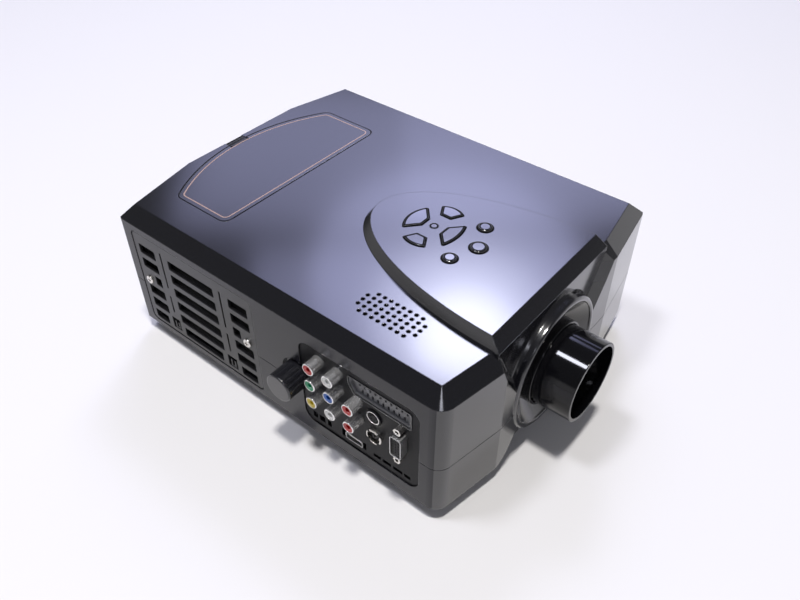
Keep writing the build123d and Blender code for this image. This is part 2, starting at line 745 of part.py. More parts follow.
plate = plate - side_piece(
    vga_y, vga_z, vga_half_width + 0.2, vga_half_height + 0.2, 1.5, plate_x - 1, plate_back_x + 1
)
plate = plate - block(plate_x - 1, plate_back_x + 1, hdmi_y - 9.5, hdmi_y + 9.9, hdmi_z - 3.1, hdmi_z + 3.1)
for vz in (vga_z - vga_screw_pitch, vga_z + vga_screw_pitch):
    plate = plate - rod_x(plate_x - 1, plate_back_x + 1, vga_y, vz, 1.5)
for y0, y1, z0, z1 in (
    (-41.0, -37.3, 25.0, 30.0),
    (-47.2, -42.7, 25.0, 30.0),
    (-52.5, -49.5, 25.0, 30.0),
    (-92.1, -86.7, 25.3, 28.0),
    (-100.0, -93.8, 25.3, 28.0),
    (-108.7, -101.7, 25.3, 28.0),
    (-114.7, -110.0, 25.3, 28.0),
):
    plate = plate - block(plate_x - 1, plate_back_x + 1, y0, y1, z0, z1)
save("connector_plate", plate)

shells = []
inserts = {"red": [], "green": [], "yellow": [], "white": [], "blue": []}
for y, z, color in rca:
    tube = rod_x(rca_tip_x, plate_x, y, z, rca_radius)
    tube = chamfer(tube.faces().sort_by(Axis.X)[0].edges(), 0.3)
    tube = tube + rod_x(plate_x - overlap, plate_back_x, y, z, rca_neck_radius)
    tube = tube + rod_x(plate_back_x, plate_back_x + 1, y, z, rca_radius + 0.3)
    shells.append(tube - rod_x(rca_tip_x - 1, plate_back_x + 2, y, z, rca_radius - rca_wall))
    insert = rod_x(rca_tip_x + 0.6, io_board_x, y, z, rca_radius - rca_wall)
    insert = insert - rod_x(rca_tip_x - 1, rca_tip_x + 11, y, z, 1.6)
    inserts[color].append(insert)
save("rca_shells", Compound(children=shells))
for color in inserts:
    if len(inserts[color]) > 1:
        save("rca_inserts_" + color, Compound(children=inserts[color]))
    else:
        save("rca_inserts_" + color, inserts[color][0])

scart_front_x = plate_x + 0.2
scart = along_x(scart_outline, scart_front_x, io_board_x)
scart_face = make_face(Polyline(*[(scart_front_x, y, z) for y, z in scart_outline], close=True))
scart_inner = offset(scart_face, -1.1, kind=Kind.INTERSECTION)
scart = scart - extrude(scart_inner, amount=1.6, dir=(1, 0, 0))
scart_end_x = scart_front_x + 8
for row_z, first in ((80.2, -110.6), (75.0, -108.7)):
    for pin in range(10 if row_z > 78 else 9):
        pin_y = first + pin * 3.81
        scart = scart - block(scart_front_x, scart_end_x, pin_y - 0.7, pin_y + 0.7, row_z - 1.5, row_z + 1.5)
save("scart_socket", scart)

svideo = rod_x(plate_x - 0.9, io_board_x, svideo_y, svideo_z, svideo_radius)
svideo_ring = rod_x(plate_x - 2, plate_x + 6, svideo_y, svideo_z, svideo_radius - 0.9)
svideo_ring = svideo_ring - rod_x(plate_x - 2, plate_x + 8, svideo_y, svideo_z, svideo_radius - 2.2)
svideo = svideo - svideo_ring
for py, pz in ((-1.7, 1.3), (1.7, 1.3), (-1.1, -1.3), (1.1, -1.3)):
    svideo = svideo - rod_x(plate_x - 2, plate_x + 5, svideo_y + py, svideo_z + pz, 0.5)
svideo_key = block(
    plate_x - 2, plate_x + 5, svideo_y - 0.8, svideo_y + 0.8, svideo_z + 2.3, svideo_z + 3.2
)
svideo = svideo - svideo_key
save("svideo_socket", svideo)

tv = rod_x(plate_x - 2.6, io_board_x, tv_y, tv_z, tv_radius)
tv = chamfer(tv.faces().sort_by(Axis.X)[0].edges(), 0.4)
tv_ring = rod_x(plate_x - 4, plate_x + 7, tv_y, tv_z, 4.6) - rod_x(plate_x - 4, plate_x + 8, tv_y, tv_z, 2.4)
tv = tv - tv_ring
tv = tv - rod_x(plate_x - 4, plate_x + 6, tv_y, tv_z, 1.2)
tv = tv - rod_x(plate_x - 4, plate_x - 1.2, tv_y, tv_z, 2.6)
save("tv_socket", tv)

vga = side_piece(vga_y, vga_z, vga_half_width, vga_half_height, 1.6, plate_x - 6.0, plate_back_x + 1)
vga = vga - side_piece(
    vga_y, vga_z, vga_half_width - 0.5, vga_half_height - 0.5, 1.3, plate_x - 7.0, plate_back_x
)
vga = vga + side_piece(
    vga_y, vga_z, vga_half_width - 1.1, vga_half_height - 1.1, 1.0, plate_x - 5.4, plate_back_x + 0.5
)
for row, offset_y in enumerate((-1.9, 0.0, 1.9)):
    for pin in range(5):
        pin_z = vga_z + (pin - 2) * 2.29 + (0.6 if row == 1 else 0)
        vga = vga - rod_x(plate_x - 7, plate_x - 1, vga_y + offset_y, pin_z, 0.4)
vga = vga + block(plate_back_x, plate_back_x + 1, vga_y - 5, vga_y + 5, vga_z - 15, vga_z + 15)
vga = vga + block(plate_back_x + 0.9, io_board_x, vga_y - 4, vga_y + 4, vga_z - 9, vga_z + 9)
for vz in (vga_z - vga_screw_pitch, vga_z + vga_screw_pitch):
    vga = vga - rod_x(plate_back_x - 1, plate_back_x + 3, vga_y, vz, 1.5)
save("vga_socket", vga)
standoffs = []
for vz in (vga_z - vga_screw_pitch, vga_z + vga_screw_pitch):
    nut_plane = Plane(origin=(plate_x - 4.5, vga_y, vz), x_dir=(0, 1, 0), z_dir=(1, 0, 0))
    hexagon = nut_plane * RegularPolygon(2.75, 6)
    nut = extrude(hexagon, amount=4.5, dir=(1, 0, 0))
    nut = nut + rod_x(plate_x - overlap, plate_back_x + 1.4, vga_y, vz, 1.5)
    standoffs.append(nut - rod_x(plate_x - 5, plate_x - 0.5, vga_y, vz, 1.25))
save("vga_standoffs", Compound(children=standoffs))

hdmi = side_piece(hdmi_y, hdmi_z, hdmi_half_width, hdmi_half_height, 0.8, plate_x - 0.4, io_board_x)
hdmi = hdmi - side_piece(
    hdmi_y, hdmi_z, hdmi_half_width - 0.45, hdmi_half_height - 0.45, 0.5, plate_x - 1, plate_x + 7
)
hdmi = hdmi + block(plate_x + 0.6, plate_x + 7.5, hdmi_y - 5.0, hdmi_y + 5.0, hdmi_z - 0.1, hdmi_z + 1.1)
save("hdmi_socket", hdmi)

io_board = block(
    io_board_x, io_board_x + 1.6, plate_low_y + 1.5, plate_high_y - 7.8, plate_low_z - 1, plate_high_z + 1
)
save("io_board", io_board)

# Adjuster knob, shaft and potentiometer
knob_inner_x = recess_x - move_gap
knob = rod_x(knob_end_x, knob_inner_x, knob_y, knob_z, knob_radius)
knob = fillet(knob.faces().sort_by(Axis.X)[0].edges(), 1.2)
flutes = []
for step in range(18):
    angle = math.radians(step * 20)
    flute_y = knob_y + (knob_radius + 0.5) * math.cos(angle)
    flute_z = knob_z + (knob_radius + 0.5) * math.sin(angle)
    flutes.append(rod_x(knob_end_x + 1.6, knob_inner_x - 2.5, flute_y, flute_z, 1.15))
knob = knob - all_of(flutes) - rod_x(knob_end_x + 5, knob_inner_x + 1, knob_y, knob_z, shaft_radius)
save("adjuster_knob", knob)
save("knob_shaft", rod_x(knob_end_x + 5, shaft_end_x, knob_y, knob_z, shaft_radius))
pot_x = -half_width + plate_inset + plate_thick + wall
pot = block(pot_x, shaft_end_x + 2, knob_y - 8.5, knob_y + 8.5, knob_z - 8.5, knob_z + 8.5)
pot = pot - rod_x(pot_x - 1, shaft_end_x + 0.4, knob_y, knob_z, shaft_radius + move_gap)
save("potentiometer", pot)

# Lens group
sleeve = rod_y(lens_x, sleeve_front_y, sleeve_rear_y, lens_z, sleeve_radius)
sleeve = fillet(sleeve.faces().sort_by(Axis.Y)[0].edges(), 0.5)
sleeve = sleeve - rod_y(lens_x, sleeve_front_y - 1, sleeve_rear_y + 1, lens_z, sleeve_radius - sleeve_wall)
save("lens_sleeve", sleeve)

barrel = rod_y(lens_x, barrel_front_y, barrel_rear_y, lens_z, barrel_radius)
barrel = fillet(barrel.faces().sort_by(Axis.Y)[0].edges(), 0.5)
lens_radius = 22.5
barrel = barrel - rod_y(lens_x, barrel_front_y - 1, front_glass_y - 1.5, lens_z, barrel_radius - barrel_wall)
barrel = barrel - rod_y(lens_x, front_glass_y - 2, front_glass_y + 5, lens_z, lens_radius)
barrel = barrel - rod_y(lens_x, front_glass_y + 4, barrel_rear_y + 1, lens_z, lens_radius - 1.5)
save("focus_barrel", barrel)


def lens_blank(y0, y1, radius, front_bulge, rear_bulge, center_z):
    blank = rod_y(lens_x, y0, y1, center_z, radius)
    if front_bulge > 0:
        ball = (radius ** 2 + front_bulge ** 2) / (2 * front_bulge)
        cap = Pos(lens_x, y0 - front_bulge + ball, center_z) * Sphere(ball)
        blank = blank + (cap & rod_y(lens_x, y0 - front_bulge - 1, y0 + 0.05, center_z, radius))
    if rear_bulge > 0:
        ball = (radius ** 2 + rear_bulge ** 2) / (2 * rear_bulge)
        cap = Pos(lens_x, y1 + rear_bulge - ball, center_z) * Sphere(ball)
        blank = blank + (cap & rod_y(lens_x, y1 - 0.05, y1 + rear_bulge + 1, center_z, radius))
    return blank


save("front_lens", lens_blank(front_glass_y, front_glass_y + 5, lens_radius, 3.5, 0, lens_z))
cell_y0 = cell_y - cell_length / 2
cell_y1 = cell_y + cell_length / 2
cell_radius = sleeve_radius - sleeve_wall - move_gap
rear_lens_radius = 19.0
cell = rod_y(lens_x, cell_y0, cell_y1, lens_z, cell_radius)
cell = cell - rod_y(lens_x, cell_y0 - 1, cell_y - 4, lens_z, 22.0)
cell = cell - rod_y(lens_x, cell_y - 5, cell_y + 4, lens_z, rear_lens_radius)
cell = cell - rod_y(lens_x, cell_y, cell_y1 + 1, lens_z, rear_lens_radius - 2)
save("lens_cell", cell)
save("rear_lens", lens_blank(cell_y - 4, cell_y + 4, rear_lens_radius, 2.5, 0, lens_z))

# Light path from the lamp to the lens, on one frame
frame_top = bottom_z + wall + 3
frame_x0 = lens_x - 33
frame_x1 = lens_x + 33
optics = block(frame_x0, frame_x1, -120, 58, bottom_z + wall, frame_top)
for y0, y1 in ((-120.0, -116.0), (-72.0, -68.0)):
    holder = block(frame_x0, frame_x1, y0, y1, frame_top - overlap, 92.0)
    optics = optics + (holder - rod_y(lens_x, y0 - 1, y1 + 1, lens_z, sleeve_radius))
condenser_y = 46.0
condenser_radius = 26.0
holder = block(frame_x0, frame_x1, condenser_y - 2, condenser_y + 4, frame_top - overlap, 88.0)
holder = holder - rod_y(lens_x, condenser_y, condenser_y + 5, lens_z, condenser_radius)
optics = optics + (holder - rod_y(lens_x, condenser_y - 3, condenser_y + 5, lens_z, condenser_radius - 2))
plates = [("heat_glass", 32.0, 3.0, 28.0), ("lcd_panel", -2.0, 4.0, 32.0), ("field_lens", -18.0, 3.0, 29.0)]
plate_low = 30.0
plate_high = 85.0
for name, y0, thick, half in plates:
    saddle = block(frame_x0, frame_x1, y0 - 3, y0 + thick + 3, frame_top - overlap, plate_low + 7)
    optics = optics + (saddle - block(lens_x - half, lens_x + half, y0, y0 + thick, plate_low, 90))
save("optics_frame", optics)
save("condenser_lens", lens_blank(condenser_y, condenser_y + 4, condenser_radius, 0, 7.0, lens_z))
for name, y0, thick, half in plates:
    element = block(lens_x - half, lens_x + half, y0, y0 + thick, plate_low, plate_high)
    if name == "lcd_panel":
        window_cut = block(lens_x - 26, lens_x + 26, y0 - 1, y0 + 1.2, lens_z - 20, lens_z + 20)
        element = element - window_cut - window_cut.moved(Location((0, thick - 0.2, 0)))
        ribbon_low = plate_high - overlap
        ribbon_high = plate_high + 12.0
        element = element + block(lens_x - 12, lens_x + 12, y0 + 1.6, y0 + 2.4, ribbon_low, ribbon_high)
    save(name, element)

# Lamp module
lamp_x0 = lens_x - 38
lamp_x1 = lens_x + 38
lamp_y0 = 68.0
lamp_y1 = 126.0
lamp_top = top_z - 11.0
lamp_case = block(lamp_x0, lamp_x1, lamp_y0, lamp_y1, bottom_z + wall, lamp_top)
lamp_room = block(lamp_x0 + 2, lamp_x1 - 2, lamp_y0 + 2, lamp_y1 - 2, bottom_z + wall + 2, lamp_top - 2)
lamp_case = lamp_case - lamp_room
lamp_case = lamp_case - rod_y(lens_x, lamp_y0 - 1, lamp_y0 + 3, lens_z, 26.0)
for row in range(5):
    slot_z = 30.0 + row * 12.0
    lamp_case = lamp_case - block(lamp_x0 - 1, lamp_x0 + 3, lamp_y0 + 8, lamp_y1 - 8, slot_z, slot_z + 5)
    lamp_case = lamp_case - block(lamp_x1 - 3, lamp_x1 + 1, lamp_y0 + 8, lamp_y1 - 8, slot_z, slot_z + 5)
handle = block(lens_x - 22, lens_x + 22, 94.0, 100.0, lamp_top - overlap, lamp_top + 6.0)
lamp_case = lamp_case + (handle - block(lens_x - 18, lens_x + 18, 93.0, 101.0, lamp_top, lamp_top + 3.5))
save("lamp_case", lamp_case)

mirror_outside = [
    (28.5, 2.0),
    (28.5, 4.5),
    (26.8, 6.5),
    (24.0, 14.0),
    (20.0, 21.0),
    (15.0, 27.0),
    (10.0, 31.0),
]
mirror_neck = [(10.0, 44.0), (4.5, 44.0), (4.5, 29.5)]
mirror_inside = [(9.0, 29.4), (14.0, 25.6), (18.8, 20.0), (22.6, 13.3), (25.5, 5.5), (26.0, 2.0)]
mirror_points = [(r, lamp_y0 + y) for r, y in mirror_outside + mirror_neck + mirror_inside]
save("lamp_reflector", spin_y(mirror_points, lens_x, lens_z))
bulb = rod_y(lens_x, lamp_y0 + 16.0, lamp_y0 + 50.0, lens_z, 4.5)
bulb = fillet(bulb.faces().sort_by(Axis.Y)[0].edges(), 2.5)
bulb = bulb + Pos(lens_x, lamp_y0 + 22.5, lens_z) * Sphere(5.5)
bulb = bulb + rod_y(lens_x, lamp_y0 + 44.0, lamp_y0 + 56.0, lens_z, 9.0)
save("lamp_bulb", bulb)

# Exhaust fan
fan_x1 = half_width - wall
fan_x0 = fan_x1 - 20
fan_frame = block(fan_x0, fan_x1, fan_y - fan_half, fan_y + fan_half, fan_z - fan_half, fan_z + fan_half)
fan_frame = fan_frame - rod_x(fan_x0 - 1, fan_x1 + 1, fan_y, fan_z, 38.4)
arms = rod_x(fan_x0, fan_x0 + 3, fan_y, fan_z, 17.0)
arms = arms + block(fan_x0, fan_x0 + 3, fan_y - 39, fan_y + 39, fan_z - 2, fan_z + 2)
arms = arms + block(fan_x0, fan_x0 + 3, fan_y - 2, fan_y + 2, fan_z - 39, fan_z + 39)
fan_frame = fan_frame + (arms - rod_x(fan_x0 - 1, fan_x0 + 4, fan_y, fan_z, 2.3))
for fy in (fan_y - 35.5, fan_y + 35.5):
    for fz in (fan_z - 35.5, fan_z + 35.5):
        fan_frame = fan_frame - rod_x(fan_x0 - 1, fan_x1 + 1, fy, fz, 2.1)
save("fan_frame", fan_frame)
rotor = rod_x(fan_x0 + 3.6, fan_x1 - 1.2, fan_y, fan_z, 17.0)
rotor = rotor + rod_x(fan_x0 + 0.5, fan_x0 + 4, fan_y, fan_z, 2.0)
blade_mid_x = (fan_x0 + fan_x1) / 2 + 1.2
for step in range(7):
    blade = Pos(0, 26.5, 0) * Rot(0, 38, 0) * Box(15.5, 21.5, 1.3)
    rotor = rotor + Pos(blade_mid_x, fan_y, fan_z) * Rot(step * 360 / 7, 0, 0) * blade
save("fan_rotor", rotor)

# Boards
x0, x1, y0, y1 = main_board_box
main_board = block(x0, x1, y0, y1, lower_board_z, lower_board_z + 1.6)
chips = ((22, -60, 14, 14, 3.0), (15, -20, 8, 12, 3.0), (32, -84, 6, 6, 3.0), (8, -82, 3, 5, 9.0))
chip_z = lower_board_z + 1.6
for cx, cy, dx, dy, high in chips:
    cx = cx + x0
    main_board = main_board + block(cx - dx, cx + dx, cy - dy, cy + dy, chip_z, chip_z + high)
save("main_board", main_board)
x0, x1, y0, y1 = power_board_box
power_board = block(x0, x1, y0, y1, lower_board_z, lower_board_z + 1.6)
for cx, cy, dx, dy, high in ((24, 60, 15, 14, 32.0), (40, 26, 4, 18, 30.0), (12, 28, 7, 8, 20.0)):
    cx = cx + x0
    cy = cy + y0
    power_board = power_board + block(cx - dx, cx + dx, cy - dy, cy + dy, chip_z, chip_z + high)
for cx, cy in ((x0 + 14, y0 + 88), (x0 + 36, y0 + 88), (x0 + 26, y0 + 12)):
    power_board = power_board + rod_z(cx, cy, chip_z, lower_board_z + 30, 9.0)
save("power_board", power_board)

# Mains socket and switch at the rear
inlet_back_y = mid_rear_y - 15.4
flange_end_y = mid_rear_y + 1.6
flange_low_z = inlet_z - 12.6
flange_high_z = inlet_z + 12.6
inlet = rear_block(inlet_x, inlet_width, inlet_back_y, mid_rear_y + overlap, inlet_z, inlet_height)
inlet = inlet + rear_block(inlet_x, 33.0, mid_rear_y, flange_end_y, inlet_z, flange_high_z - flange_low_z)
mouth_points = [
    (inlet_x - 12.2, inlet_z - 8.4),
    (inlet_x - 12.2, inlet_z + 4.4),
    (inlet_x - 8.2, inlet_z + 8.4),
    (inlet_x + 8.2, inlet_z + 8.4),
    (inlet_x + 12.2, inlet_z + 4.4),
    (inlet_x + 12.2, inlet_z - 8.4),
]
inlet_mouth = along_y(mouth_points, inlet_back_y + 1.5, mid_rear_y + 3)
inlet_core = rear_block(inlet_x, 16.0, inlet_back_y + 1, mid_rear_y - 0.5, inlet_z - 0.4, 8.4)
inlet = inlet - inlet_mouth + inlet_core
for px, pz in ((-5.0, -1.6), (5.0, -1.6), (0.0, 1.6)):
    inlet = inlet - rear_block(inlet_x + px, 1.6, inlet_back_y + 3, mid_rear_y + 1, inlet_z + pz, 3.2)
rocker_box_width = rocker_width + rocker_frame
rocker_box_height = rocker_height + rocker_frame
inlet = inlet + rear_block(
    rocker_x, rocker_box_width, inlet_back_y, mid_rear_y + overlap, rocker_z, rocker_box_height
)
rocker_flange_x = rocker_x + rocker_width / 2 + 3
inlet = inlet + block(
    inlet_x + 15.0, rocker_flange_x, mid_rear_y, flange_end_y, flange_low_z, flange_high_z
)
inlet = inlet - rear_block(
    rocker_x, rocker_width, inlet_back_y + 3, mid_rear_y + 4, rocker_z, rocker_height
)
rocker_pivot_y = mid_rear_y - 4.4
pivot_hole_half = rocker_width / 2 + 1.2
inlet = inlet - rod_x(rocker_x - pivot_hole_half, rocker_x + pivot_hole_half, rocker_pivot_y, rocker_z, 1.3)
save("ac_inlet", inlet)
rocker_half = rocker_height / 2 - 0.7
rocker_points = [
    (-3.0, -5.0),
    (-3.0, 5.0),
    (2.0, rocker_half - 0.3),
    (6.2, rocker_half - 0.6),
    (5.0, 0.0),
    (6.2, 0.6 - rocker_half),
    (2.0, 0.3 - rocker_half),
]
rocker = along_x(rocker_points, rocker_x - rocker_width / 2 + 0.4, rocker_x + rocker_width / 2 - 0.4)
rocker = rocker + rod_x(rocker_x - rocker_width / 2 - 0.9, rocker_x + rocker_width / 2 + 0.9, 0, 0, 1.0)
rocker_tilt = 7.0
save("power_rocker", Pos(0, rocker_pivot_y, rocker_z) * Rot(-rocker_tilt, 0, 0) * rocker)

# Feet
rear_feet = []
for fx in (-foot_x, foot_x):
    foot = rod_z(fx, rear_foot_y, 0, bottom_z, foot_pad_radius)
    rear_feet.append(fillet(foot.faces().sort_by(Axis.Z)[0].edges(), 1.0))
save("rear_feet", Compound(children=rear_feet))
wheel_z0 = 3.7
for side, fx in (("left", -foot_x), ("right", foot_x)):
    pad = rod_z(fx, front_foot_y, 0, wheel_z0 - move_gap, foot_pad_radius)
    pad = fillet(pad.faces().sort_by(Axis.Z)[0].edges(), 0.8)
    stem = rod_z(fx, front_foot_y, wheel_z0 - 0.5, foot_boss_top - 3, foot_stem_radius)
    save("foot_stem_" + side, pad + stem)
    wheel = rod_z(fx, front_foot_y, wheel_z0, bottom_z - move_gap, foot_wheel_radius)
    grips = []
    for step in range(24):
        angle = math.radians(step * 15)
        grip_x = fx + (foot_wheel_radius + 0.3) * math.cos(angle)
        grip_y = front_foot_y + (foot_wheel_radius + 0.3) * math.sin(angle)
        grips.append(rod_z(grip_x, grip_y, wheel_z0 - 1, bottom_z, 0.8))
    wheel_bore = rod_z(fx, front_foot_y, wheel_z0 - 1, bottom_z + 1, foot_stem_radius + move_gap)
    wheel = wheel - all_of(grips) - wheel_bore
    save("foot_wheel_" + side, wheel)

# Screws that hold the shells together
long_screws = []
for sx in (-screw_x, screw_x):
    for sy in (screw_front_y, screw_rear_y):
        screw = rod_z(sx, sy, bottom_z + 0.6, bottom_z + 2.6, 3.2)
        screw = screw - block(sx - 2, sx + 2, sy - 0.4, sy + 0.4, bottom_z, bottom_z + 1.6)
        screw = screw - block(sx - 0.4, sx + 0.4, sy - 2, sy + 2, bottom_z, bottom_z + 1.6)
        long_screws.append(screw + rod_z(sx, sy, bottom_z + 2.5, screw_top_z, 1.6))
save("housing_screws", Compound(children=long_screws))

# The origin lies on the floor, under the middle of the whole projector
boxes = [piece.bounding_box() for piece in pieces.values()]
middle_x = (min(box.min.X for box in boxes) + max(box.max.X for box in boxes)) / 2
middle_y = (min(box.min.Y for box in boxes) + max(box.max.Y for box in boxes)) / 2
shift = Location((-middle_x, -middle_y, 0))
for name, piece in pieces.items():
    if piece.children:
        placed = Compound(children=[solid.moved(shift) for solid in piece.children])
    else:
        placed = piece.moved(shift)
    placed.label = name
    export_step(placed, "parts/" + name + ".step")
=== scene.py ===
import math

import bpy
from mathutils import Matrix, Vector


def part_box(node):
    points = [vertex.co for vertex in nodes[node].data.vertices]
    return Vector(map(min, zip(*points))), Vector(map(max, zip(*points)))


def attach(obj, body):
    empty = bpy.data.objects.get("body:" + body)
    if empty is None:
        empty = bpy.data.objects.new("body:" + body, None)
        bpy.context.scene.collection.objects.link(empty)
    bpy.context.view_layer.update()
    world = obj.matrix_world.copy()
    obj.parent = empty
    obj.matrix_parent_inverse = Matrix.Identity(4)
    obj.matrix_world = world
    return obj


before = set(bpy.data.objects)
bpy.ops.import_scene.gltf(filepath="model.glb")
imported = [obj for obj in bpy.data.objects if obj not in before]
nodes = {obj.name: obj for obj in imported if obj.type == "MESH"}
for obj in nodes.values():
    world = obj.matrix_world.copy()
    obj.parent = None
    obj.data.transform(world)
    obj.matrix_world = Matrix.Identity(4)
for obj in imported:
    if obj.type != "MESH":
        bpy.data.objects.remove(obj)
scene = bpy.context.scene
MM = 0.001
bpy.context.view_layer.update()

# Shader helpers


def math_node(tree, operation, first, second):
    node = tree.nodes.new("ShaderNodeMath")
    node.operation = operation
    tree.links.new(first, node.inputs[0])
    tree.links.new(second, node.inputs[1])
    return node.outputs["Value"]


def map_range(tree, value, start, end, start_value=0.0, end_value=1.0, smooth=False):
    node = tree.nodes.new("ShaderNodeMapRange")
    if smooth:
        node.interpolation_type = "SMOOTHSTEP"
    node.inputs["From Min"].default_value = start
    node.inputs["From Max"].default_value = end
    node.inputs["To Min"].default_value = start_value
    node.inputs["To Max"].default_value = end_value
    tree.links.new(value, node.inputs["Value"])
    return node.outputs["Result"]


def mix_shaders(tree, share, first, second):
    node = tree.nodes.new("ShaderNodeMixShader")
    tree.links.new(share, node.inputs[0])
    tree.links.new(first, node.inputs[1])
    tree.links.new(second, node.inputs[2])
    return node.outputs["Shader"]


def round_edges(tree, radius, samples):
    bevel = tree.nodes.new("ShaderNodeBevel")
    bevel.samples = samples
    bevel.inputs["Radius"].default_value = radius
    return bevel.outputs["Normal"]


# Materials

GLASS_IOR = 1.5
GRAIN_DETAIL = 3.0
GRAIN_HEIGHT = 0.2 * MM
LEAST_BEVEL = 0.05 * MM
BEVEL_SAMPLES = 6
DOME_SAMPLES = 8
# Where the bent normal leans this much from the true one, a domed look is dull, and where it is flat, glossy
DOME_LEANING = 0.93
DOME_FLAT = 0.998
DOME_DULL = 0.75
DOME_GLOSSY = 0.1


def new_material(name, color):
    material = bpy.data.materials.new(name)
    material.use_nodes = True
    tree = material.node_tree
    shader = tree.nodes["Principled BSDF"]
    shader.inputs["Base Color"].default_value = (*color, 1.0)
    return material, tree, shader


def grain_height(tree, scale):
    place = tree.nodes.new("ShaderNodeNewGeometry")
    noise = tree.nodes.new("ShaderNodeTexNoise")
    noise.inputs["Scale"].default_value = scale
    noise.inputs["Detail"].default_value = GRAIN_DETAIL
    tree.links.new(place.outputs["Position"], noise.inputs["Vector"])
    return noise.outputs["Fac"]


def plain(name, color, roughness, metallic=0.0, specular=0.5, coat=0.0, coat_roughness=0.03, bevel=0.0,
          grain=0.0, grain_scale=900.0):
    material, tree, shader = new_material(name, color)
    shader.inputs["Roughness"].default_value = roughness
    shader.inputs["Metallic"].default_value = metallic
    shader.inputs["Specular IOR Level"].default_value = specular
    shader.inputs["Coat Weight"].default_value = coat
    shader.inputs["Coat Roughness"].default_value = coat_roughness
    shader.inputs["IOR"].default_value = GLASS_IOR
    if bevel > 0 or grain > 0:
        normal = round_edges(tree, max(bevel, LEAST_BEVEL), BEVEL_SAMPLES)
        if grain > 0:
            bump = tree.nodes.new("ShaderNodeBump")
            bump.inputs["Strength"].default_value = grain
            bump.inputs["Distance"].default_value = GRAIN_HEIGHT
            tree.links.new(grain_height(tree, grain_scale), bump.inputs["Height"])
            tree.links.new(normal, bump.inputs["Normal"])
            normal = bump.outputs["Normal"]
        tree.links.new(normal, shader.inputs["Normal"])
    return material


gloss_black = plain("gloss_black", (0.004, 0.004, 0.006), 0.15, specular=0.8, coat=0.35, coat_roughness=0.12,
                    bevel=0.8 * MM)
side_satin = plain("side_satin", (0.005, 0.005, 0.009), 0.25, specular=0.42, bevel=0.8 * MM)
side_black = plain("side_black", (0.018, 0.018, 0.019), 0.34, bevel=0.4 * MM, grain=0.1)
plate_black = plain("plate_black", (0.004, 0.004, 0.005), 0.4, specular=0.15, bevel=0.3 * MM, grain=0.15)
key_black = plain("key_black", (0.006, 0.006, 0.008), 0.1, specular=0.9, bevel=0.3 * MM)
knob_black = plain("knob_black", (0.010, 0.010, 0.013), 0.2, specular=0.7, coat=0.2, coat_roughness=0.2)
# The SCART face's grey is lightened as painted light, making up for the shade of its recess and standing in
# for the light its separators reflect
socket_gray_painted_light = plain("socket_gray_painted_light", (0.11, 0.11, 0.115), 0.35, specular=0.8)
rim_black = plain("rim_black", (0.02, 0.02, 0.021), 0.25, specular=0.8, bevel=0.3 * MM)
# Near black for the real gaps round the lamp door and the keys, and for the painted shade that widens the
# key gaps and darkens the rims of the keys and the status window
gap_and_shade_black = plain("gap_and_shade_black", (0.002, 0.002, 0.002), 0.5, specular=0.1)
copper_print = plain("copper_print", (0.40, 0.27, 0.23), 0.4, specular=0.4)
plated = plain("plated", (0.84, 0.83, 0.82), 0.2, metallic=0.86, bevel=0.2 * MM)
nickel = plain("nickel", (0.72, 0.70, 0.66), 0.22, metallic=1.0, bevel=0.2 * MM)
steel = plain("steel", (0.60, 0.60, 0.60), 0.32, metallic=1.0, bevel=0.2 * MM)
gold = plain("gold", (0.80, 0.58, 0.25), 0.25, metallic=1.0)
red_plastic = plain("red_plastic", (0.50, 0.015, 0.012), 0.3)
green_plastic = plain("green_plastic", (0.010, 0.28, 0.12), 0.3)
blue_plastic = plain("blue_plastic", (0.01, 0.10, 0.42), 0.3)
yellow_plastic = plain("yellow_plastic", (0.62, 0.48, 0.03), 0.3)
white_plastic = plain("white_plastic", (0.75, 0.75, 0.72), 0.35)
barrel_black = plain("barrel_black", (0.003, 0.003, 0.004), 0.09, specular=0.33, bevel=0.3 * MM)
board_green = plain("board_green", (0.010, 0.10, 0.045), 0.45)
foam_black = plain("foam_black", (0.010, 0.010, 0.010), 0.95, specular=0.2, grain=1.0, grain_scale=700.0)
rubber_black = plain("rubber_black", (0.012, 0.012, 0.012), 0.75, specular=0.3)
inner_black = plain("inner_black", (0.010, 0.010, 0.010), 0.6, specular=0.3)
lamp_metal = plain("lamp_metal", (0.55, 0.55, 0.55), 0.4, metallic=1.0)
mirror_metal = plain("mirror_metal", (0.85, 0.87, 0.90), 0.05, metallic=1.0)


def domed(name, color, width):
    """A gloss black whose edge, for the given width, is dull and bent like the rim of a moulded key."""
    material, tree, shader = new_material(name, color)
    shader.inputs["Specular IOR Level"].default_value = 1.0
    shader.inputs["Coat Weight"].default_value = 0.45
    shader.inputs["Coat Roughness"].default_value = 0.08
    normal = round_edges(tree, width, DOME_SAMPLES)
    tree.links.new(normal, shader.inputs["Normal"])
    surface = tree.nodes.new("ShaderNodeNewGeometry")
    flatness = tree.nodes.new("ShaderNodeVectorMath")
    flatness.operation = "DOT_PRODUCT"
    tree.links.new(normal, flatness.inputs[0])
    tree.links.new(surface.outputs["True Normal"], flatness.inputs[1])
    roughness = map_range(tree, flatness.outputs["Value"], DOME_LEANING, DOME_FLAT, DOME_DULL, DOME_GLOSSY)
    tree.links.new(roughness, shader.inputs["Roughness"])
    return material


key_domed = domed("key_domed", (0.004, 0.004, 0.005), 0.9 * MM)
window_dark = domed("window_dark", (0.008, 0.004, 0.004), 1.2 * MM)

lens_glass, _, glass_shader = new_material("lens_glass", (0.55, 0.62, 0.66))
glass_shader.inputs["Roughness"].default_value = 0.0
glass_shader.inputs["Transmission Weight"].default_value = 1.0
glass_shader.inputs["IOR"].default_value = GLASS_IOR

